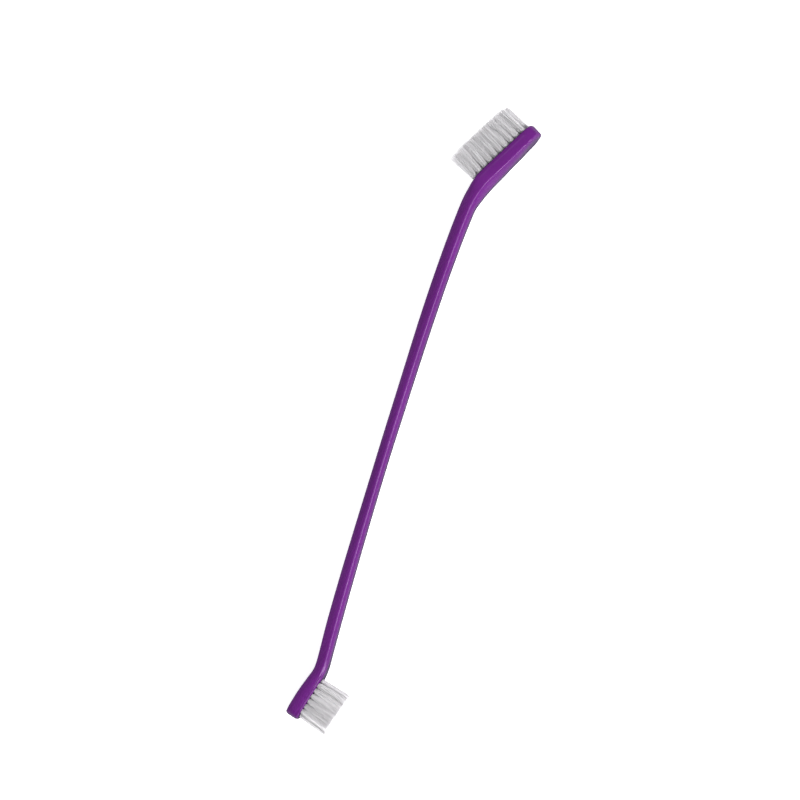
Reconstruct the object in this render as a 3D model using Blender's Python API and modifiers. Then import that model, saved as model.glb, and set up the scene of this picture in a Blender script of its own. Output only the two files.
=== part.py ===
"""Double-ended pet toothbrush, lying on its side.

+X runs along the handle from the small head to the large head, the large head's bristles point
towards +Y and the small head's towards -Y, and +Z is up. The origin is the centre of the base of
the whole brush's bounding box. Sizes are in millimetres, and MM turns them into Blender's metres.

The handle is one moulded piece: a loft of eight-cornered sections along a spine that lies in the
brush's middle plane. Each tuft of bristles is a piece of its own, standing in a blind hole.
"""
import math

import bmesh
import bpy
import numpy as np
from mathutils import Matrix, Vector
from mathutils.geometry import interpolate_bezier

MM = 0.001

# The spine: x, y, heading in degrees, length of the Bezier handle before and after each knot.
SPINE = (
    (0.7, -0.65, -9.3, 0.0, 5.0),        # tip of the small head
    (15.5, -3.08, -9.3, 5.0, 2.3),       # end of the small head's straight stretch
    (22.5, -3.12, 8.3, 2.3, 57.5),       # start of the shaft
    (181.7, 12.76, 0.5, 30.0, 4.6),      # end of the shaft
    (195.04, 9.86, -24.4, 4.6, 7.0),     # start of the large head's straight stretch
    (215.01, 0.80, -24.4, 7.0, 0.0),     # tip of the large head
)
SPINE_STEPS = 60
TANGENT_REACH = 0.05                     # the spine's direction is measured over twice this

# Half sections, from the +Y side round to the -Y side: the distance along the spine, then the half
# width and height of the crown's edge, the shoulder, the parting line and the belly's edge.
SMALL_END_SECTIONS = (                   # distances from the small head's tip
    (0.0, 2.3, 2.65, 3.3, 1.10, 3.5, -0.95, 3.1, -2.20),
    (7.3, 2.3, 2.76, 3.3, 1.15, 3.5, -0.95, 3.1, -2.20),
    (14.3, 2.1, 2.42, 3.2, 1.00, 3.5, -0.95, 3.0, -2.20),
    (18.3, 1.75, 2.12, 2.8, 0.60, 3.2, -1.10, 2.2, -2.28),
    (23.8, 1.45, 2.20, 2.55, 0.25, 2.9, -1.25, 1.4, -2.30),
    (36.3, 1.3, 2.42, 2.65, 0.15, 2.8, -1.28, 1.2, -2.32),
    (91.3, 1.2, 2.02, 2.5, 0.05, 2.6, -1.25, 1.1, -2.28),
    (114.3, 1.2, 2.05, 2.55, 0.05, 2.65, -1.30, 1.15, -2.44),
)
LARGE_END_SECTIONS = (                   # distances from the large head's tip
    (67.4, 1.25, 2.47, 2.65, 0.15, 2.8, -1.32, 1.2, -2.45),
    (36.0, 1.3, 2.60, 2.8, 0.20, 3.0, -1.36, 1.2, -2.64),
    (30.5, 2.0, 2.62, 3.3, 0.70, 3.65, -1.60, 1.2, -3.28),
    (25.0, 3.7, 2.72, 4.3, 1.45, 4.3, -1.85, 1.4, -3.53),
    (12.2, 3.75, 2.72, 4.3, 1.45, 4.3, -1.90, 1.5, -2.92),
    (4.0, 3.75, 2.72, 4.3, 1.45, 4.3, -1.80, 1.57, -2.20),
    (0.0, 3.75, 2.72, 4.3, 1.45, 4.3, -0.95, 1.6, -2.05),
)

# Rounded tips: how far back the plan view's rounding starts, and how wide the flat at its end is.
SMALL_TIP_ROUNDING = 3.6
LARGE_TIP_ROUNDING = 4.4
TIP_FLAT = 0.12
TIP_EDGE = 1.0                           # how far the ends' top and bottom edges are rounded

# Spacing of the sections.
TIP_STEPS = 6
NECK_STEP = 1.5
SHAFT_STEP = 6.0
LARGE_NECK_END = 21.0                    # from the large head's tip: the head is straight from here

# Tufts: three rows on each head. A row has a name, the side of the middle plane that it stands on,
# its first tuft's distance from the head's tip, its pitch and its number of tufts.
HOLE_SIDES = 8
HOLE_DEPTH = 3.0
SEAT_GAP = 0.3                           # from the hole's bottom to the folded end of its tuft
TUFT_DOME = 0.3
DOME_TOP = 0.75                          # radius of the dome's flat top, as a share of the tuft's
END_FALL = 8                             # power that keeps a row level until close to its ends

LARGE_HEAD = {
    "name": "large_head_tuft",
    "face": 2.72,                        # height of the bristle face over the spine
    "side": 1,                           # the bristles point to the spine's left, +Y
    "row_gap": 2.35,
    "hole_radius": 0.90,
    "root_radius": 0.78,
    "top_radius": 1.05,
    "rows": (("left", 1, 3.85, 2.443, 10), ("middle", 0, 2.24, 2.443, 10),
             ("right", -1, 3.85, 2.443, 10)),
    "lean": 0.5,                         # degrees, towards the neck
    "length": (10.60, 10.80),            # at the tip and at the neck
    "bulge": 0.15,                       # extra length away from the row's two ends
}
SMALL_HEAD = {
    "name": "small_head_tuft",
    "face": 2.20,
    "side": -1,
    "row_gap": 1.95,
    "hole_radius": 0.80,
    "root_radius": 0.68,
    "top_radius": 0.86,
    "rows": (("left", 1, 3.55, 2.08, 6), ("middle", 0, 2.03, 2.227, 7), ("right", -1, 3.55, 2.08, 6)),
    "lean": -1.5,                        # towards the tip
    "length": (10.65, 11.05),
    "bulge": 0.05,
}

PURPLE = (0.185, 0.026, 0.260, 1.0)
NYLON_WHITE = (0.800, 0.790, 0.810, 1.0)


def clear_scene():
    for item in list(bpy.data.objects):
        bpy.data.objects.remove(item, do_unlink=True)


def collection(name):
    group = bpy.data.collections.new(name)
    bpy.context.scene.collection.children.link(group)
    return group


def material(name, colour, roughness):
    made = bpy.data.materials.new(name)
    made.use_nodes = True
    shader = made.node_tree.nodes["Principled BSDF"]
    shader.inputs["Base Color"].default_value = colour
    shader.inputs["Roughness"].default_value = roughness
    shader.inputs["Metallic"].default_value = 0.0
    return made


def add_object(name, bm, group, look=None):
    mesh = bpy.data.meshes.new(name)
    bm.to_mesh(mesh)
    bm.free()
    made = bpy.data.objects.new(name, mesh)
    group.objects.link(made)
    if look:
        mesh.materials.append(look)
    return made


def heading_vector(degrees):
    angle = math.radians(degrees)
    return Vector((math.cos(angle), math.sin(angle), 0.0))


def spine_points():
    """Closely spaced points along the spine, as a smooth chain of Bezier segments."""
    points = []
    for start, end in zip(SPINE, SPINE[1:]):
        first = Vector((start[0], start[1], 0.0))
        last = Vector((end[0], end[1], 0.0))
        out_handle = first + heading_vector(start[2]) * start[4]
        in_handle = last - heading_vector(end[2]) * end[3]
        segment = interpolate_bezier(first, out_handle, in_handle, last, SPINE_STEPS)
        points += segment if not points else segment[1:]
    return np.array([tuple(point) for point in points])


class Spine:
    """The spine by distance from the small head's tip."""

    def __init__(self):
        self.points = spine_points()
        steps = np.linalg.norm(np.diff(self.points, axis=0), axis=1)
        self.distances = np.concatenate(([0.0], np.cumsum(steps)))
        self.length = float(self.distances[-1])

    def point(self, distance):
        return Vector([float(np.interp(distance, self.distances, self.points[:, k])) for k in range(3)])

    def frame(self, distance):
        """The point, the direction along the spine and the direction to its left."""
        low = max(0.0, distance - TANGENT_REACH)
        high = min(self.length, distance + TANGENT_REACH)
        along = (self.point(high) - self.point(low)).normalized()
        return self.point(distance), along, Vector((-along.y, along.x, 0.0))


def smooth_slopes(at, values):
    """Slopes for a cubic curve through the table that never overshoots it."""
    steps = np.diff(values) / np.diff(at)
    slopes = np.zeros(len(values))
    for k in range(1, len(values) - 1):
        before, after = steps[k - 1], steps[k]
        if before * after > 0.0:
            slopes[k] = 2.0 * before * after / (before + after)
    return slopes


def smooth_value(distance, at, values, slopes):
    k = int(np.clip(np.searchsorted(at, distance) - 1, 0, len(at) - 2))
    width = at[k + 1] - at[k]
    t = float(np.clip((distance - at[k]) / width, 0.0, 1.0))
    return ((1 + 2 * t) * (1 - t) ** 2 * values[k] + t * (1 - t) ** 2 * width * slopes[k]
            + t * t * (3 - 2 * t) * values[k + 1] + t * t * (t - 1) * width * slopes[k + 1])


def section_tables(spine):
    rows = list(SMALL_END_SECTIONS)
    rows += [(spine.length - row[0],) + row[1:] for row in LARGE_END_SECTIONS]
    table = np.array(rows)
    at = table[:, 0]
    return at, [(table[:, k], smooth_slopes(at, table[:, k])) for k in range(1, table.shape[1])]


def tip_rounding(distance, spine):
    """How much narrower a section is near a tip, and how far its top and bottom are drawn in."""
    small_end = distance < spine.length / 2
    from_tip = distance if small_end else spine.length - distance
    reach = SMALL_TIP_ROUNDING if small_end else LARGE_TIP_ROUNDING
    back = max(0.0, 1.0 - from_tip / reach)
    width = TIP_FLAT + (1.0 - TIP_FLAT) * math.sqrt(1.0 - back * back)
    edge = max(0.0, 1.0 - from_tip / TIP_EDGE)
    inset = TIP_EDGE * (1.0 - math.sqrt(1.0 - edge * edge))
    return width, inset


def section(distance, spine, tables):
    """The eight corners of the handle's section, as points in the brush's frame."""
    at, columns = tables
    values = [smooth_value(distance, at, column, slopes) for column, slopes in columns]
    width, inset = tip_rounding(distance, spine)
    corners = []
    for half, height in zip(values[0::2], values[1::2]):
        limit = abs(height) - inset if abs(height) > 2 * TIP_EDGE else abs(height)
        corners.append((half * width, math.copysign(limit, height)))
    loop = corners + [(-half, height) for half, height in reversed(corners)]
    origin, _, left = spine.frame(distance)
    return [origin + left * height + Vector((0.0, 0.0, half)) for half, height in loop]


def ring_distances(spine):
    """Where the sections stand: close together at the tips and necks, far apart on the shaft."""
    def tip(reach):
        return [reach * (1.0 - math.cos(0.5 * math.pi * k / TIP_STEPS)) for k in range(TIP_STEPS + 1)]

    small_neck, shaft_start = SMALL_END_SECTIONS[2][0], SMALL_END_SECTIONS[5][0]
    shaft_end = spine.length - LARGE_END_SECTIONS[1][0]
    large_neck = spine.length - LARGE_NECK_END
    rings = tip(SMALL_TIP_ROUNDING)
    rings += list(np.arange(small_neck, shaft_start, NECK_STEP))
    rings += list(np.arange(shaft_start, shaft_end, SHAFT_STEP))
    rings += list(np.arange(shaft_end, large_neck, NECK_STEP))
    rings += [spine.length - d for d in reversed(tip(LARGE_TIP_ROUNDING))]
    return rings


def handle_body(spine, group, look):
    """The moulded handle with both heads, before its tuft holes are cut."""
    tables = section_tables(spine)
    bm = bmesh.new()
    rings = [[bm.verts.new(corner * MM) for corner in section(distance, spine, tables)]
             for distance in ring_distances(spine)]
    for ring, following in zip(rings, rings[1:]):
        for k in range(len(ring)):
            n = (k + 1) % len(ring)
            bm.faces.new((ring[k], ring[n], following[n], following[k]))
    bm.faces.new(rings[0])
    bm.faces.new(reversed(rings[-1]))
    bmesh.ops.recalc_face_normals(bm, faces=bm.faces)
    return add_object("handle", bm, group, look)


def tuft_seats(head, spine):
    """Name, length and placing matrix of each tuft: its origin in the bristle face, +Z its axis."""
    small_end = head["side"] < 0
    _, along, left = spine.frame(0.0 if small_end else spine.length)
    to_neck = along if small_end else -along
    lean = math.radians(head["lean"])
    axis = left * (head["side"] * math.cos(lean)) + to_neck * math.sin(lean)
    flat = axis.cross(Vector((0.0, 0.0, 1.0)))
    turn = Matrix((flat, axis.cross(flat), axis)).transposed().to_4x4()
    for row_name, row, first, pitch, count in head["rows"]:
        for k in range(count):
            from_tip = first + k * pitch
            distance = from_tip if small_end else spine.length - from_tip
            origin, _, left = spine.frame(distance)
            seat = origin + left * (head["side"] * head["face"])
            seat.z = row * head["row_gap"]
            share = k / (count - 1)
            tip_length, neck_length = head["length"]
            length = tip_length + (neck_length - tip_length) * share
            length += head["bulge"] * (1.0 - (2.0 * share - 1.0) ** END_FALL)
            name = "%s_%s_%02d" % (head["name"], row_name, k + 1)
            yield name, length, Matrix.Translation(seat * MM) @ turn


def cut_tuft_holes(handle, seats, group):
    """One cutter holds every blind hole, and a Boolean takes it out of the handle."""
    bm = bmesh.new()
    depth = 2 * HOLE_DEPTH                # half of each cutter stands outside the face
    for radius, matrix in seats:
        bmesh.ops.create_cone(bm, cap_ends=True, segments=HOLE_SIDES, radius1=radius * MM,
                              radius2=radius * MM, depth=depth * MM, matrix=matrix)
    cutter = add_object("tuft_hole_cutter", bm, group)
    cutter.hide_render = True
    cutter.display_type = "WIRE"
    cut = handle.modifiers.new("tuft holes", "BOOLEAN")
    cut.operation = "DIFFERENCE"
    cut.solver = "EXACT"
    cut.object = cutter


def tuft(name, length, matrix, head, group, look):
    """A bundle of bristles as one turned solid, from its seat in the hole to its domed top."""
    root, top = head["root_radius"], head["top_radius"]
    profile = (
        (0.0, length),
        (DOME_TOP * top, length - TUFT_DOME),
        (top, length - 2 * TUFT_DOME),
        (root, 0.0),
        (root, SEAT_GAP - HOLE_DEPTH),
        (0.0, SEAT_GAP - HOLE_DEPTH),
    )
    bm = bmesh.new()
    corners = [bm.verts.new((radius * MM, 0.0, height * MM)) for radius, height in profile]
    for upper, lower in zip(corners, corners[1:]):
        bm.edges.new((upper, lower))
    made = add_object(name, bm, group, look)
    made.matrix_world = matrix
    turn = made.modifiers.new("turn", "SCREW")
    turn.steps = HOLE_SIDES
    turn.render_steps = HOLE_SIDES
    turn.use_merge_vertices = True
    turn.merge_threshold = 0.00001
    return made


def stand_on_origin(objects):
    """Move everything so that the origin is the centre of the bounding box's base."""
    bpy.context.view_layer.update()
    graph = bpy.context.evaluated_depsgraph_get()
    corners = []
    for made in objects:
        solid = made.evaluated_get(graph)
        mesh = solid.to_mesh()
        corners += [solid.matrix_world @ vertex.co for vertex in mesh.vertices]
        solid.to_mesh_clear()
    low = Vector([min(corner[k] for corner in corners) for k in range(3)])
    high = Vector([max(corner[k] for corner in corners) for k in range(3)])
    shift = Vector((-(low.x + high.x) / 2, -(low.y + high.y) / 2, -low.z))
    for made in bpy.data.objects:
        made.matrix_world = Matrix.Translation(shift) @ made.matrix_world


def main():
    clear_scene()
    parts = collection("pet_toothbrush")
    cutters = collection("cutters")
    plastic = material("purple_plastic", PURPLE, 0.22)
    nylon = material("white_nylon", NYLON_WHITE, 0.45)
    spine = Spine()
    handle = handle_body(spine, parts, plastic)
    objects = [handle]
    seats = []
    for head in (LARGE_HEAD, SMALL_HEAD):
        for name, length, matrix in tuft_seats(head, spine):
            seats.append((head["hole_radius"], matrix))
            objects.append(tuft(name, length, matrix, head, parts, nylon))
    cut_tuft_holes(handle, seats, cutters)
    stand_on_origin(objects)


main()
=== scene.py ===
"""The looks of the double-ended pet toothbrush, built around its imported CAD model.

The CAD handle and tufts are replaced by finer ones in the same places: a smooth moulded handle with
rounded edges, a parting line and countersunk tuft holes, and tufts of separate nylon filaments that
are folded under brass anchors. Sizes are in millimetres, and MM turns them into Blender's metres.
"""

import math
import random

import bmesh
import bpy
import numpy as np
from mathutils import Matrix, Vector
from mathutils.geometry import interpolate_bezier

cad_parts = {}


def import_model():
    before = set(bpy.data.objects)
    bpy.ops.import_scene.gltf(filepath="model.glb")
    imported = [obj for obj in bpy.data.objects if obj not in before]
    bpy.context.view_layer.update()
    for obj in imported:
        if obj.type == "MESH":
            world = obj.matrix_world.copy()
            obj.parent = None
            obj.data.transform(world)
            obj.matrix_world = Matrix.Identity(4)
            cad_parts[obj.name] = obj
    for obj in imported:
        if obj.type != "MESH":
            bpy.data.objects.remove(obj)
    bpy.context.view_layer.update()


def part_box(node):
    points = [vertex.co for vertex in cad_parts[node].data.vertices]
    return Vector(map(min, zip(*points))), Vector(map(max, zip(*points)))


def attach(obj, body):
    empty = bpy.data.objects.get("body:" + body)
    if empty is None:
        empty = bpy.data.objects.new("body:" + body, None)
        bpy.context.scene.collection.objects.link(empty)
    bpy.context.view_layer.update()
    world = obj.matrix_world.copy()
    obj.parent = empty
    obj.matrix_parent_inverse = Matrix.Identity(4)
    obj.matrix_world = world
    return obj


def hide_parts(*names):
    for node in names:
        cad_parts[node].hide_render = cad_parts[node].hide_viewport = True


MM = 0.001

# ---------------------------------------------------------------------------------------------
# The handle's design, as in part.py: its spine, then half sections along it.
# x, y, heading in degrees, length of the Bezier handle before and after each knot.
SPINE = (
    (0.7, -0.65, -9.3, 0.0, 5.0),        # tip of the small head
    (15.5, -3.08, -9.3, 5.0, 2.3),       # end of the small head's straight stretch
    (22.5, -3.12, 8.3, 2.3, 57.5),       # start of the shaft
    (181.7, 12.76, 0.5, 30.0, 4.6),      # end of the shaft
    (195.04, 9.86, -24.4, 4.6, 7.0),     # start of the large head's straight stretch
    (215.01, 0.80, -24.4, 7.0, 0.0),     # tip of the large head
)
SPINE_STEPS = 60
TANGENT_REACH = 0.05                     # the spine's direction is measured over twice this

# Distance along the spine, then the half width and height of the crown's edge, the shoulder, the
# parting line and the belly's edge.
SMALL_END_SECTIONS = (                   # distances from the small head's tip
    (0.0, 2.3, 2.65, 3.3, 1.10, 3.5, -0.95, 3.1, -2.20),
    (7.3, 2.3, 2.76, 3.3, 1.15, 3.5, -0.95, 3.1, -2.20),
    (14.3, 2.1, 2.42, 3.2, 1.00, 3.5, -0.95, 3.0, -2.20),
    (18.3, 1.75, 2.12, 2.8, 0.60, 3.2, -1.10, 2.2, -2.28),
    (23.8, 1.45, 2.20, 2.55, 0.25, 2.9, -1.25, 1.4, -2.30),
    (36.3, 1.3, 2.42, 2.65, 0.15, 2.8, -1.28, 1.2, -2.32),
    (91.3, 1.2, 2.02, 2.5, 0.05, 2.6, -1.25, 1.1, -2.28),
    (114.3, 1.2, 2.05, 2.55, 0.05, 2.65, -1.30, 1.15, -2.44),
)
LARGE_END_SECTIONS = (                   # distances from the large head's tip
    (67.4, 1.25, 2.47, 2.65, 0.15, 2.8, -1.32, 1.2, -2.45),
    (36.0, 1.3, 2.60, 2.8, 0.20, 3.0, -1.36, 1.2, -2.64),
    (30.5, 2.0, 2.62, 3.3, 0.70, 3.65, -1.60, 1.2, -3.28),
    (25.0, 3.7, 2.72, 4.3, 1.45, 4.3, -1.85, 1.4, -3.53),
    (12.2, 3.75, 2.72, 4.3, 1.45, 4.3, -1.90, 1.5, -2.92),
    (4.0, 3.75, 2.72, 4.3, 1.45, 4.3, -1.80, 1.57, -2.20),
    (0.0, 3.75, 2.72, 4.3, 1.45, 4.3, -0.95, 1.6, -2.05),
)

# Rounded tips.
SMALL_TIP_ROUNDING = 3.6                 # how far back from the tip the head starts to narrow
LARGE_TIP_ROUNDING = 4.4
TIP_FLAT = 0.12                          # share of the width that is left at the very tip
TIP_EDGE = 1.0                           # radius that rounds the crown and the belly into the end

# How finely the visible handle is made.
TIP_RINGS = 16
HEAD_RING_STEP = 0.5
SHAFT_RING_STEP = 1.5
HEAD_REACH = 42.0                        # fine rings reach this far from each tip
LAST_RING_GAP = 0.1                      # least room between the head's rings and the tip's
CORNER_STEPS = 4
FLAT_STEPS = 2
CORNER_CUTS = (0.35, 0.70, 0.50, 0.35)   # rounding of crown edge, shoulder, parting line, belly
FACET_BULGES = (0.05, 0.05, 0.20)        # crown to shoulder, shoulder to parting line, to belly
LARGEST_CUT = 0.45                       # of the facet beside the corner
SHARP_ANGLE = 40.0                       # degrees: flatter edges than this are shaded smooth

# Tufts: three rows on each head. A row has a name, the side of the middle plane that it stands on,
# its first tuft's distance from the head's tip, its pitch and its number of tufts.
END_FALL = 8                             # power that keeps a row level until close to its ends
HOLE_DEPTH = 3.0
HOLE_COUNTERSINK = 0.10
HOLE_CUTTER_RISE = 1.0                   # how far the cutter stands out of the bristle face
HOLE_CUTTER_FLARE = 0.2                  # how much wider its outer end is
HOLE_CONE = 0.2                          # depth of the cone at a hole's bottom
HOLE_SIDES = 20

# Heads. face is how far the bristle face stands from the spine, side is the side that it is on, and
# row_gap is the distance between rows. spread is a tuft's radius at its top, swell the share of the
# growth to it that comes just outside the hole, and closing the share of the tuft's length by which
# all of it is done. loops is its number of filaments, each folded once. length is for the tufts at
# the tip and at the neck, and bulge is added between them. lean turns every tuft towards the neck,
# and tip_lean and neck_lean add to that at the tip and at the neck, all in degrees. fan sets how far
# the tufts nearest the neck fan out.
LARGE_HEAD = {
    "name": "large_head_tuft", "anchors": "large_head_anchors",
    "face": 2.72, "side": 1, "row_gap": 2.35,
    "hole_radius": 0.90, "spread": 1.26, "swell": 0.38, "loops": 37,
    "rows": (("left", 1, 3.85, 2.443, 10), ("middle", 0, 2.24, 2.443, 10),
             ("right", -1, 3.85, 2.443, 10)),
    "lean": 0.5, "length": (10.60, 10.80), "bulge": 0.15,
    "closing": 0.75, "tip_lean": 4.6, "neck_lean": -2.9, "fan": 0.60,
}
SMALL_HEAD = {
    "name": "small_head_tuft", "anchors": "small_head_anchors",
    "face": 2.20, "side": -1, "row_gap": 1.95,
    "hole_radius": 0.80, "spread": 1.06, "swell": 0.30, "loops": 30,
    "rows": (("left", 1, 3.55, 2.08, 6), ("middle", 0, 2.03, 2.227, 7), ("right", -1, 3.55, 2.08, 6)),
    "lean": -1.5, "length": (10.65, 11.05), "bulge": 0.05,
    "closing": 0.3, "tip_lean": 0.0, "neck_lean": 0.0, "fan": 0.27,
}

# Filaments and the anchors that hold them.
FILAMENT_RADIUS = 0.085
FILAMENT_SIDES = 5
FILAMENT_END = 0.65                      # share of its radius that is left at its two ends
SIDE_HINT = (0.3, 0.9, 0.1)              # a ring's first corner is square to this and the filament
HEIGHTS = (1.0, 0.97, 0.8, 0.6, 0.4, 0.2)    # points above the swelling, as shares of its length
SWELL_END = 0.06                         # share of its length over which a tuft swells out of its hole
LENGTH_SPREAD = 0.04                     # standard deviation of a free end's height
DRIFT = 0.08                             # standard deviation of a free end's place, each way
SHORT_CHANCE = 0.04                      # chance that a free end stands SHORT_BY lower
SHORT_BY = 0.15
FAN_REACH = 0.16                         # share of the row, from the neck, that fans out
FAN_BIAS = 1.3                           # above 1, so that the whole tuft fans towards the neck
GOLDEN_ANGLE = 2.39996                   # radians between one loop and the next
ANGLE_SPREAD = 0.15                      # radians that a loop may stray either way
LEAST_RISE = 0.12                        # keeps a loop's two halves apart
FOLD_PINCH = 0.8                         # share of its width along the anchor left at the fold
SHALLOW_BEND = -1.0                      # heights of a loop's points inside the hole
DEEP_BEND = -2.3
FOLD_DEPTH = -2.80
ANCHOR_SIZE = (2.1, 0.28, 1.2)           # length, thickness and height
ANCHOR_BOTTOM = -2.65
ANCHOR_TURN = 45.0                       # degrees from the row's direction
ANCHOR_ROUNDING = 0.05

# Large head's polish: from and to X in metres, and the share of the shaft's roughness at each.
POLISH = (0.076, 0.090, 1.0, 0.48)

# The view: how far the picture's upright is turned from the handle's length, how far the brush is
# rolled about its length, the lens, and what the picture takes in.
HANDLE_TURN = 23.15
HANDLE_ROLL = 12.5
LENS = 150.0
SENSOR = 36.0
PICTURE_WIDTH = 270.4
PICTURE_CENTRE = (113.16, 8.13)          # on the spine's own axes

# The studio, in metres. A light has its place, its two sides and its power in watts.
FLOOR_HALF_SIDE = 3.0
FLOOR_DROP = 0.0001                      # keeps the floor clear of the rest side
FLOOR_GLOW = 0.68                        # lets the floor render white, with next to no shadow
WORLD_COLOUR = (0.97, 0.97, 1.0, 1.0)
WORLD_STRENGTH = 0.50
LIGHTS = (
    ("key", (-0.05, -0.60, 0.76), (0.7, 0.35), 10.0),
    ("low", (0.0, -0.95, 0.35), (2.4, 0.6), 2.4),
    ("window", (0.28, 0.42, 0.90), (0.14, 0.04), 0.10),
)


# ---------------------------------------------------------------------------------------------
# Geometry of the spine and the sections.
def heading_vector(degrees):
    angle = math.radians(degrees)
    return Vector((math.cos(angle), math.sin(angle), 0.0))


def spine_points():
    """Closely spaced points along the spine, as a smooth chain of Bezier segments."""
    points = []
    for start, end in zip(SPINE, SPINE[1:]):
        first = Vector((start[0], start[1], 0.0))
        last = Vector((end[0], end[1], 0.0))
        out_handle = first + heading_vector(start[2]) * start[4]
        in_handle = last - heading_vector(end[2]) * end[3]
        segment = interpolate_bezier(first, out_handle, in_handle, last, SPINE_STEPS)
        points += segment if not points else segment[1:]
    return np.array([tuple(point) for point in points])


class Spine:
    """The spine by distance from the small head's tip."""

    def __init__(self):
        self.points = spine_points()
        steps = np.linalg.norm(np.diff(self.points, axis=0), axis=1)
        self.distances = np.concatenate(([0.0], np.cumsum(steps)))
        self.length = float(self.distances[-1])

    def point(self, distance):
        return Vector([float(np.interp(distance, self.distances, self.points[:, k])) for k in range(3)])

    def frame(self, distance):
        """The point, the direction along the spine and the direction to its left."""
        low = max(0.0, min(distance, self.length) - TANGENT_REACH)
        high = min(self.length, max(distance, 0.0) + TANGENT_REACH)
        along = (self.point(high) - self.point(low)).normalized()
        return self.point(distance), along, Vector((-along.y, along.x, 0.0))


def smooth_slopes(at, values):
    """Slopes for a cubic curve through the table that never overshoots it."""
    steps = np.diff(values) / np.diff(at)
    slopes = np.zeros(len(values))
    for k in range(1, len(values) - 1):
        before, after = steps[k - 1], steps[k]
        if before * after > 0.0:
            slopes[k] = 2.0 * before * after / (before + after)
    return slopes


def smooth_value(distance, at, values, slopes):
    k = int(np.clip(np.searchsorted(at, distance) - 1, 0, len(at) - 2))
    width = at[k + 1] - at[k]
    t = float(np.clip((distance - at[k]) / width, 0.0, 1.0))
    return ((1 + 2 * t) * (1 - t) ** 2 * values[k] + t * (1 - t) ** 2 * width * slopes[k]
            + t * t * (3 - 2 * t) * values[k + 1] + t * t * (t - 1) * width * slopes[k + 1])


def section_tables(spine):
    """The distances of the sections, and each column of the tables with its slopes."""
    rows = list(SMALL_END_SECTIONS)
    rows += [(spine.length - row[0],) + row[1:] for row in LARGE_END_SECTIONS]
    table = np.array(rows)
    at = table[:, 0]
    return at, [(table[:, k], smooth_slopes(at, table[:, k])) for k in range(1, table.shape[1])]


def tip_rounding(distance, spine):
    """How much narrower a section is near a tip, and how far its top and bottom are drawn in."""
    small_end = distance < spine.length / 2
    from_tip = distance if small_end else spine.length - distance
    reach = SMALL_TIP_ROUNDING if small_end else LARGE_TIP_ROUNDING
    back = max(0.0, 1.0 - from_tip / reach)
    width = TIP_FLAT + (1.0 - TIP_FLAT) * math.sqrt(max(0.0, 1.0 - back * back))
    edge = max(0.0, 1.0 - from_tip / TIP_EDGE)
    inset = TIP_EDGE * (1.0 - math.sqrt(max(0.0, 1.0 - edge * edge)))
    return width, inset


def half_corners(distance, spine, tables):
    """(half width, height) of crown edge, shoulder, parting line and belly edge."""
    at, columns = tables
    values = [smooth_value(distance, at, column, slopes) for column, slopes in columns]
    width, inset = tip_rounding(distance, spine)
    corners = []
    for half, height in zip(values[0::2], values[1::2]):
        limit = abs(height) - inset if abs(height) > 2 * TIP_EDGE else abs(height)
        corners.append((half * width, math.copysign(limit, height)))
    return corners


def cut_share(cut, facet):
    """The share of a facet that the rounding of a corner takes away."""
    return min(LARGEST_CUT, cut / max(facet.length, 1e-6))


def rounded_outline(corners):
    """The section's closed outline with each corner rounded, as (half width, height) points."""
    loop = corners + [(-half, height) for half, height in reversed(corners)]
    cuts = CORNER_CUTS + tuple(reversed(CORNER_CUTS))
    bulges = FACET_BULGES + (0.0,) + tuple(reversed(FACET_BULGES)) + (0.0,)
    points = [Vector(corner) for corner in loop]
    count = len(points)
    outline = []
    for k in range(count):
        before, here, after = points[k - 1], points[k], points[(k + 1) % count]
        back, ahead = before - here, after - here
        cut_back = back * cut_share(cuts[k], back)
        cut_ahead = ahead * cut_share(cuts[k], ahead)
        start, end = here + cut_back, here + cut_ahead
        for step in range(CORNER_STEPS + 1):
            t = step / CORNER_STEPS
            outline.append(start * (1 - t) ** 2 + here * 2 * t * (1 - t) + end * t * t)
        next_back = (here - after) * cut_share(cuts[(k + 1) % count], ahead)
        flat_end = after + next_back
        normal = Vector((-ahead.y, ahead.x)).normalized()
        if normal.dot(here + after) < 0.0:
            normal = -normal
        for step in range(1, FLAT_STEPS + 1):
            t = step / (FLAT_STEPS + 1)
            outline.append(end.lerp(flat_end, t) + normal * bulges[k] * math.sin(math.pi * t))
    return outline


def section_points(distance, spine, tables):
    """The rounded section at a distance along the spine, in the design's own axes."""
    origin, _, left = spine.frame(distance)
    outline = rounded_outline(half_corners(distance, spine, tables))
    return [origin + left * height + Vector((0.0, 0.0, half)) for half, height in outline]


def tip_steps(reach):
    """Distances from a tip, closest together at the tip."""
    return [reach * (1.0 - math.cos(0.5 * math.pi * k / TIP_RINGS)) for k in range(TIP_RINGS + 1)]


def ring_distances(spine):
    """Where the handle's sections stand: close together on the heads, further apart on the shaft."""
    tail = spine.length - HEAD_REACH
    rings = tip_steps(SMALL_TIP_ROUNDING)
    rings += list(np.arange(SMALL_TIP_ROUNDING + HEAD_RING_STEP, HEAD_REACH, HEAD_RING_STEP))
    rings += list(np.arange(HEAD_REACH, tail, SHAFT_RING_STEP))
    rings += list(np.arange(tail, spine.length - LARGE_TIP_ROUNDING - LAST_RING_GAP, HEAD_RING_STEP))
    rings += [spine.length - d for d in reversed(tip_steps(LARGE_TIP_ROUNDING))]
    return rings


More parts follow.
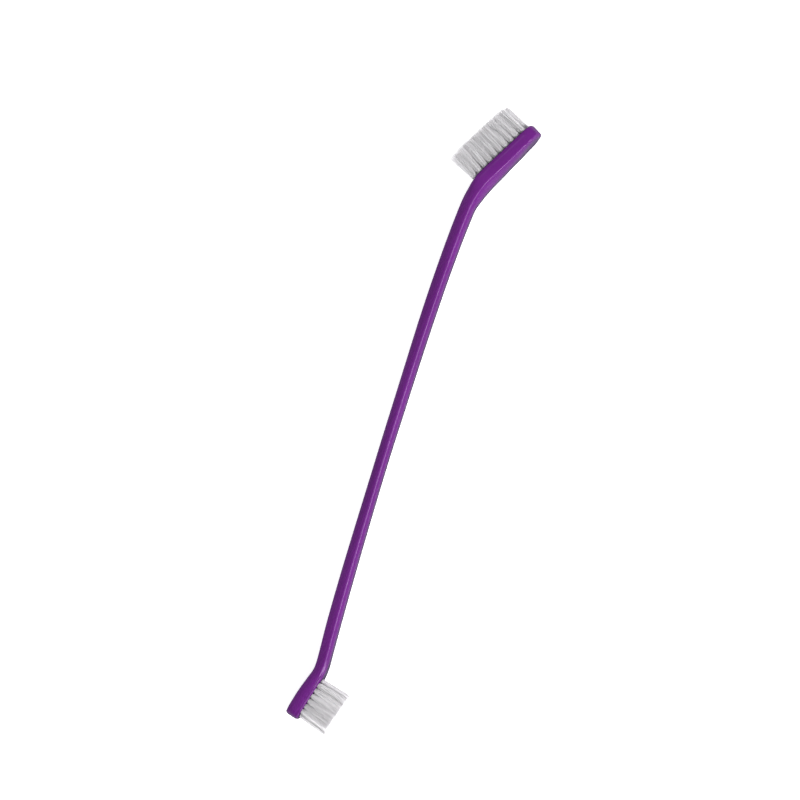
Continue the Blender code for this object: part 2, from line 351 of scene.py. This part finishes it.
def place_in_frame(spine, tables):
    """The move from the design's own axes to the frame, found from the CAD handle's box."""
    corners = []
    for distance in ring_distances(spine):
        origin, _, left = spine.frame(distance)
        for half, height in half_corners(distance, spine, tables):
            corners.append(origin + left * height + Vector((0.0, 0.0, -half)))
    low = Vector([min(corner[k] for corner in corners) for k in range(3)])
    high_x = max(corner.x for corner in corners)
    high_y = max(corner.y for corner in corners)
    box_low, box_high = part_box("handle")
    x = ((box_low.x + box_high.x) - (low.x + high_x) * MM) / 2
    y = ((box_low.y + box_high.y) - (low.y + high_y) * MM) / 2
    return Vector((x, y, box_low.z - low.z * MM))


# ---------------------------------------------------------------------------------------------
# Materials.
def new_material(name):
    made = bpy.data.materials.new(name)
    made.use_nodes = True
    tree = made.node_tree
    return made, tree, tree.nodes["Principled BSDF"]


def noise(tree, scale, detail, stretch=(1.0, 1.0, 1.0)):
    """Noise over the object's own coordinates, in metres, stretched along its axes."""
    coords = tree.nodes.new("ShaderNodeTexCoord")
    mapping = tree.nodes.new("ShaderNodeMapping")
    mapping.inputs["Scale"].default_value = stretch
    texture = tree.nodes.new("ShaderNodeTexNoise")
    texture.inputs["Scale"].default_value = scale
    texture.inputs["Detail"].default_value = detail
    tree.links.new(coords.outputs["Object"], mapping.inputs["Vector"])
    tree.links.new(mapping.outputs["Vector"], texture.inputs["Vector"])
    return texture.outputs["Fac"]


def ramp(tree, source, stops):
    """The source's value turned into colours: the two stops are (position, colour)."""
    node = tree.nodes.new("ShaderNodeValToRGB")
    for element, (position, colour) in zip(node.color_ramp.elements, stops):
        element.position = position
        element.color = colour
    tree.links.new(source, node.inputs["Fac"])
    return node.outputs["Color"]


def shine_by_length(tree, roughness):
    """The roughness given, lowered along the large head, to sharpen its parting line's highlight."""
    coords = tree.nodes.new("ShaderNodeTexCoord")
    split = tree.nodes.new("ShaderNodeSeparateXYZ")
    along = tree.nodes.new("ShaderNodeMapRange")
    for name, value in zip(("From Min", "From Max", "To Min", "To Max"), POLISH):
        along.inputs[name].default_value = value
    scaled = tree.nodes.new("ShaderNodeMath")
    scaled.operation = "MULTIPLY"
    tree.links.new(coords.outputs["Object"], split.inputs["Vector"])
    tree.links.new(split.outputs["X"], along.inputs["Value"])
    tree.links.new(along.outputs["Result"], scaled.inputs[0])
    tree.links.new(roughness, scaled.inputs[1])
    return scaled.outputs["Value"]


def purple_plastic():
    """Glossy moulded plastic. Its coat reflects nothing: its tint darkens, most at a slant."""
    made, tree, shader = new_material("purple_plastic")
    flow = noise(tree, 90.0, 3.0, (0.35, 1.0, 1.0))
    colour = ramp(tree, flow, ((0.30, (0.150, 0.012, 0.212, 1.0)), (0.70, (0.188, 0.016, 0.262, 1.0))))
    tree.links.new(colour, shader.inputs["Base Color"])
    gloss = ramp(tree, noise(tree, 1400.0, 4.0, (0.3, 1.0, 1.0)),
                 ((0.35, (0.25, 0.25, 0.25, 1.0)), (0.75, (0.31, 0.31, 0.31, 1.0))))
    tree.links.new(shine_by_length(tree, gloss), shader.inputs["Roughness"])
    bump = tree.nodes.new("ShaderNodeBump")
    bump.inputs["Strength"].default_value = 0.01
    bump.inputs["Distance"].default_value = 0.0001
    tree.links.new(noise(tree, 900.0, 2.0), bump.inputs["Height"])
    tree.links.new(bump.outputs["Normal"], shader.inputs["Normal"])
    shader.inputs["IOR"].default_value = 1.49
    shader.inputs["Coat Weight"].default_value = 1.0
    shader.inputs["Coat IOR"].default_value = 1.0
    shader.inputs["Coat Roughness"].default_value = 0.15
    shader.inputs["Coat Tint"].default_value = (0.72, 0.72, 0.74, 1.0)
    shader.inputs["Specular Tint"].default_value = (0.95, 0.70, 1.0, 1.0)
    shader.inputs["Subsurface Weight"].default_value = 0.25
    shader.inputs["Subsurface Radius"].default_value = (0.9, 0.25, 1.0)
    shader.inputs["Subsurface Scale"].default_value = 0.0015
    return made


def white_nylon():
    """White filaments that let some light through."""
    made, tree, shader = new_material("white_nylon")
    tone = ramp(tree, noise(tree, 700.0, 2.0),
                ((0.30, (0.88, 0.86, 0.88, 1.0)), (0.70, (0.93, 0.915, 0.93, 1.0))))
    tree.links.new(tone, shader.inputs["Base Color"])
    shader.inputs["Roughness"].default_value = 0.38
    shader.inputs["IOR"].default_value = 1.53
    shader.inputs["Subsurface Weight"].default_value = 0.8
    shader.inputs["Subsurface Radius"].default_value = (1.0, 1.0, 1.0)
    shader.inputs["Subsurface Scale"].default_value = 0.001
    return made


def brass():
    made, tree, shader = new_material("anchor_brass")
    tone = ramp(tree, noise(tree, 2500.0, 3.0),
                ((0.30, (0.70, 0.52, 0.24, 1.0)), (0.70, (0.84, 0.68, 0.38, 1.0))))
    tree.links.new(tone, shader.inputs["Base Color"])
    shader.inputs["Metallic"].default_value = 1.0
    shader.inputs["Roughness"].default_value = 0.30
    return made


def floor_white():
    made, tree, shader = new_material("floor_white")
    shader.inputs["Base Color"].default_value = (0.90, 0.90, 0.90, 1.0)
    shader.inputs["Roughness"].default_value = 0.9
    shader.inputs["Emission Color"].default_value = (1.0, 1.0, 1.0, 1.0)
    shader.inputs["Emission Strength"].default_value = FLOOR_GLOW
    return made


# ---------------------------------------------------------------------------------------------
# Pieces.
def link_mesh(name, mesh, look):
    made = bpy.data.objects.new(name, mesh)
    bpy.context.scene.collection.objects.link(made)
    mesh.materials.append(look)
    return made


def smooth(mesh):
    mesh.shade_smooth()
    mesh.set_sharp_from_angle(angle=math.radians(SHARP_ANGLE))


def handle_shell(spine, tables, move):
    """The smooth handle, lofted through many rounded sections."""
    bm = bmesh.new()
    rings = [[bm.verts.new(point * MM + move) for point in section_points(distance, spine, tables)]
             for distance in ring_distances(spine)]
    for ring, following in zip(rings, rings[1:]):
        for k in range(len(ring)):
            n = (k + 1) % len(ring)
            bm.faces.new((ring[k], ring[n], following[n], following[k]))
    bm.faces.new(rings[0])
    bm.faces.new(reversed(rings[-1]))
    bmesh.ops.recalc_face_normals(bm, faces=bm.faces)
    mesh = bpy.data.meshes.new("handle_moulding")
    bm.to_mesh(mesh)
    bm.free()
    return mesh


def tuft_seats(head, spine, move):
    """Name, share along the head, length and placing matrix of each tuft.

    A tuft's origin is in the bristle face, its +Z is its axis and its +X points towards the neck.
    """
    small_end = head["side"] < 0
    _, along, left = spine.frame(0.0 if small_end else spine.length)
    to_neck = along if small_end else -along
    lean = math.radians(head["lean"])
    axis = left * (head["side"] * math.cos(lean)) + to_neck * math.sin(lean)
    across = (to_neck - axis * axis.dot(to_neck)).normalized()
    turn = Matrix((across, axis.cross(across), axis)).transposed().to_4x4()
    for row_name, row, first, pitch, count in head["rows"]:
        for k in range(count):
            from_tip = first + k * pitch
            distance = from_tip if small_end else spine.length - from_tip
            origin, _, left = spine.frame(distance)
            seat = origin + left * (head["side"] * head["face"])
            seat.z = row * head["row_gap"]
            share = k / (count - 1)
            tip_length, neck_length = head["length"]
            length = tip_length + (neck_length - tip_length) * share
            length += head["bulge"] * (1.0 - (2.0 * share - 1.0) ** END_FALL)
            name = "%s_%s_%02d" % (head["name"], row_name, k + 1)
            yield name, share, length, Matrix.Translation(seat * MM + move) @ turn


def lathe(bm, profile, sides, matrix):
    """A closed turned solid: profile points are (radius, height), the first and last on the axis."""
    rings = []
    for radius, height in profile[1:-1]:
        ring = []
        for k in range(sides):
            angle = 2.0 * math.pi * k / sides
            corner = Vector((radius * math.cos(angle), radius * math.sin(angle), height)) * MM
            ring.append(bm.verts.new(matrix @ corner))
        rings.append(ring)
    top = bm.verts.new(matrix @ Vector((0.0, 0.0, profile[0][1] * MM)))
    bottom = bm.verts.new(matrix @ Vector((0.0, 0.0, profile[-1][1] * MM)))
    for k in range(sides):
        n = (k + 1) % sides
        bm.faces.new((top, rings[0][k], rings[0][n]))
        bm.faces.new((bottom, rings[-1][n], rings[-1][k]))
        for upper, lower in zip(rings, rings[1:]):
            bm.faces.new((upper[k], lower[k], lower[n], upper[n]))


def cut_holes(shell, seats):
    """Takes every countersunk tuft hole out of the handle."""
    bm = bmesh.new()
    for radius, matrix in seats:
        wide = radius + HOLE_COUNTERSINK
        profile = ((0.0, HOLE_CUTTER_RISE), (wide + HOLE_CUTTER_FLARE, HOLE_CUTTER_RISE), (wide, 0.0),
                   (radius, -HOLE_COUNTERSINK), (radius, -HOLE_DEPTH),
                   (0.0, -HOLE_DEPTH - HOLE_CONE))
        lathe(bm, profile, HOLE_SIDES, matrix)
    bmesh.ops.recalc_face_normals(bm, faces=bm.faces)
    mesh = bpy.data.meshes.new("hole_cutter")
    bm.to_mesh(mesh)
    bm.free()
    cutter = bpy.data.objects.new("hole_cutter", mesh)
    bpy.context.scene.collection.objects.link(cutter)
    cut = shell.modifiers.new("tuft holes", "BOOLEAN")
    cut.operation = "DIFFERENCE"
    cut.solver = "EXACT"
    cut.object = cutter
    bpy.context.view_layer.update()
    graph = bpy.context.evaluated_depsgraph_get()
    result = bpy.data.meshes.new_from_object(shell.evaluated_get(graph))
    shell.modifiers.clear()
    shell.data = result
    bpy.data.objects.remove(cutter)


def tube(vertices, faces, path, radius, sides):
    """Adds one closed filament along the path, with softly rounded ends."""
    path = np.array(path)
    along = np.gradient(path, axis=0)
    along /= np.linalg.norm(along, axis=1)[:, None]
    side = np.cross(along, SIDE_HINT)
    side /= np.linalg.norm(side, axis=1)[:, None]
    over = np.cross(along, side)
    first = len(vertices)
    for k in range(len(path)):
        size = radius * (FILAMENT_END if k in (0, len(path) - 1) else 1.0)
        for step in range(sides):
            angle = 2.0 * math.pi * step / sides
            vertices.append(path[k] + size * (math.cos(angle) * side[k] + math.sin(angle) * over[k]))
    for k in range(len(path) - 1):
        low = first + k * sides
        for step in range(sides):
            n = (step + 1) % sides
            faces.append((low + step, low + n, low + sides + n, low + sides + step))
    last = first + (len(path) - 1) * sides
    faces.append(tuple(first + step for step in reversed(range(sides))))
    faces.append(tuple(last + step for step in range(sides)))


def half_filament(rng, root, head, length, share):
    """Points of one filament from its free end down into the hole, in the tuft's own axes."""
    root_radius = head["hole_radius"] - FILAMENT_RADIUS
    flare = head["spread"] / root_radius - 1.0
    own_length = length + rng.gauss(0.0, LENGTH_SPREAD)
    own_length -= SHORT_BY if rng.random() < SHORT_CHANCE else 0.0
    drift = Vector((rng.gauss(0.0, DRIFT), rng.gauss(0.0, DRIFT)))
    degrees = head["tip_lean"] * (1.0 - share) + head["neck_lean"] * share
    lean = math.tan(math.radians(degrees)) * length
    at_neck = max(0.0, 1.0 - (1.0 - share) / FAN_REACH)
    fan = head["fan"] * at_neck * (FAN_BIAS + root.x / root_radius)
    points = []
    for t in HEIGHTS + (SWELL_END, 0.0):
        slow = min(1.0, t / head["closing"])
        quick = min(1.0, t / SWELL_END)
        closing = 1.0 + flare * (slow + head["swell"] * (quick - slow))
        x = root.x * closing + drift.x * t * t + (lean + fan) * t
        y = root.y * closing + drift.y * t * t
        points.append(Vector((x, y, own_length * t)))
    return points


def bristle_bundle(name, rng, head, share, length, matrix, look):
    """A tuft of filament loops, each folded under the anchor at the bottom of the hole."""
    vertices, faces = [], []
    root_radius = head["hole_radius"] - FILAMENT_RADIUS
    loops = head["loops"]
    anchor_turn = math.radians(ANCHOR_TURN)
    across = Vector((math.cos(anchor_turn), math.sin(anchor_turn)))
    aside = Vector((-across.y, across.x))
    for k in range(loops):
        distance = root_radius * math.sqrt((k + 0.5) / loops)
        angle = (k * GOLDEN_ANGLE + rng.uniform(-ANGLE_SPREAD, ANGLE_SPREAD)) % math.pi
        run, rise = distance * math.cos(angle), distance * math.sin(angle)
        rise = max(rise, LEAST_RISE)
        ends = []
        for sign in (1.0, -1.0):
            root = across * run + aside * rise * sign
            ends.append((root, half_filament(rng, root, head, length, share)))
        path = list(ends[0][1])
        for (root, _), sign in ((ends[0], 1.0), (ends[1], -1.0)):
            middle = across * run * FOLD_PINCH
            fold = middle + aside * sign * (ANCHOR_SIZE[1] / 2 + FILAMENT_RADIUS)
            steps = [Vector((root.x, root.y, SHALLOW_BEND)), Vector((fold.x, fold.y, DEEP_BEND))]
            if sign > 0.0:
                path += steps + [Vector((middle.x, middle.y, FOLD_DEPTH))]
            else:
                path += list(reversed(steps))
        path += list(reversed(ends[1][1]))
        tube(vertices, faces, [tuple(matrix @ (point * MM)) for point in path],
             FILAMENT_RADIUS * MM, FILAMENT_SIDES)
    mesh = bpy.data.meshes.new(name)
    mesh.from_pydata([tuple(vertex) for vertex in vertices], [], faces)
    mesh.shade_smooth()
    return link_mesh(name, mesh, look)


def anchor_set(name, matrices, look):
    """The brass anchors of one head: a thin plate pressed across the bottom of each hole."""
    bm = bmesh.new()
    for matrix in matrices:
        turn = Matrix.Rotation(math.radians(ANCHOR_TURN), 4, "Z")
        middle = Matrix.Translation((0.0, 0.0, (ANCHOR_BOTTOM + ANCHOR_SIZE[2] / 2) * MM))
        size = Matrix.Diagonal([side * MM for side in ANCHOR_SIZE] + [1.0])
        cube = bmesh.ops.create_cube(bm, size=1.0, matrix=matrix @ turn @ middle @ size)
        edges = list({edge for vertex in cube["verts"] for edge in vertex.link_edges})
        bmesh.ops.bevel(bm, geom=edges, offset=ANCHOR_ROUNDING * MM, segments=2, affect="EDGES")
    mesh = bpy.data.meshes.new(name)
    bm.to_mesh(mesh)
    bm.free()
    smooth(mesh)
    return link_mesh(name, mesh, look)


# ---------------------------------------------------------------------------------------------
# Camera, floor and lights.
def add_camera(move):
    """Looks down at the side of the lying brush, with the turn, roll and framing set above."""
    turn, roll = math.radians(HANDLE_TURN), math.radians(HANDLE_ROLL)
    length = Vector((1.0, 0.0, 0.0))
    over = Vector((0.0, math.cos(roll), math.sin(roll)))
    right = length * math.sin(turn) - over * math.cos(turn)
    up = length * math.cos(turn) + over * math.sin(turn)
    back = right.cross(up)
    target = Vector((PICTURE_CENTRE[0], PICTURE_CENTRE[1], 0.0)) * MM + move
    distance = PICTURE_WIDTH * MM * LENS / SENSOR
    data = bpy.data.cameras.new("camera")
    data.lens = LENS
    data.sensor_width = SENSOR
    data.clip_start = 0.01
    data.clip_end = 50.0
    camera = bpy.data.objects.new("camera", data)
    bpy.context.scene.collection.objects.link(camera)
    placing = Matrix((right, up, back)).transposed().to_4x4()
    placing.translation = target + back * distance
    camera.matrix_world = placing
    bpy.context.scene.camera = camera


def add_floor(look):
    """A plain floor under the brush, which isn't part of it."""
    bm = bmesh.new()
    bmesh.ops.create_grid(bm, x_segments=1, y_segments=1, size=FLOOR_HALF_SIDE)
    mesh = bpy.data.meshes.new("floor")
    bm.to_mesh(mesh)
    bm.free()
    floor = link_mesh("floor", mesh, look)
    floor.location.z = -FLOOR_DROP


def add_softbox(name, place, size, power):
    """A rectangular light that faces the frame's origin, near the middle of the brush."""
    data = bpy.data.lights.new(name, "AREA")
    data.shape = "RECTANGLE"
    data.size, data.size_y = size
    data.energy = power
    light = bpy.data.objects.new(name, data)
    bpy.context.scene.collection.objects.link(light)
    light.location = place
    light.rotation_euler = (-Vector(place)).to_track_quat("-Z", "Y").to_euler()


def add_lights():
    world = bpy.data.worlds.new("studio")
    world.use_nodes = True
    background = world.node_tree.nodes["Background"]
    background.inputs["Color"].default_value = WORLD_COLOUR
    background.inputs["Strength"].default_value = WORLD_STRENGTH
    bpy.context.scene.world = world
    for name, place, size, power in LIGHTS:
        add_softbox(name, place, size, power)


# ---------------------------------------------------------------------------------------------
def main():
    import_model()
    bpy.context.scene.view_settings.view_transform = "Standard"

    spine = Spine()
    tables = section_tables(spine)
    move = place_in_frame(spine, tables)
    add_camera(move)
    add_floor(floor_white())
    add_lights()

    plastic, nylon, metal = purple_plastic(), white_nylon(), brass()
    handle = link_mesh("moulded_handle", handle_shell(spine, tables, move), plastic)
    holes = []
    for head in (LARGE_HEAD, SMALL_HEAD):
        rng = random.Random(head["name"])
        matrices = []
        for name, share, length, matrix in tuft_seats(head, spine, move):
            bundle = bristle_bundle(name + "_bristles", rng, head, share, length, matrix, nylon)
            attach(bundle, "root")
            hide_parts(name)
            matrices.append(matrix)
            holes.append((head["hole_radius"], matrix))
        anchors = anchor_set(head["anchors"], matrices, metal)
        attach(anchors, "root")
    cut_holes(handle, holes)
    smooth(handle.data)
    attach(handle, "root")
    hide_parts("handle")


main()
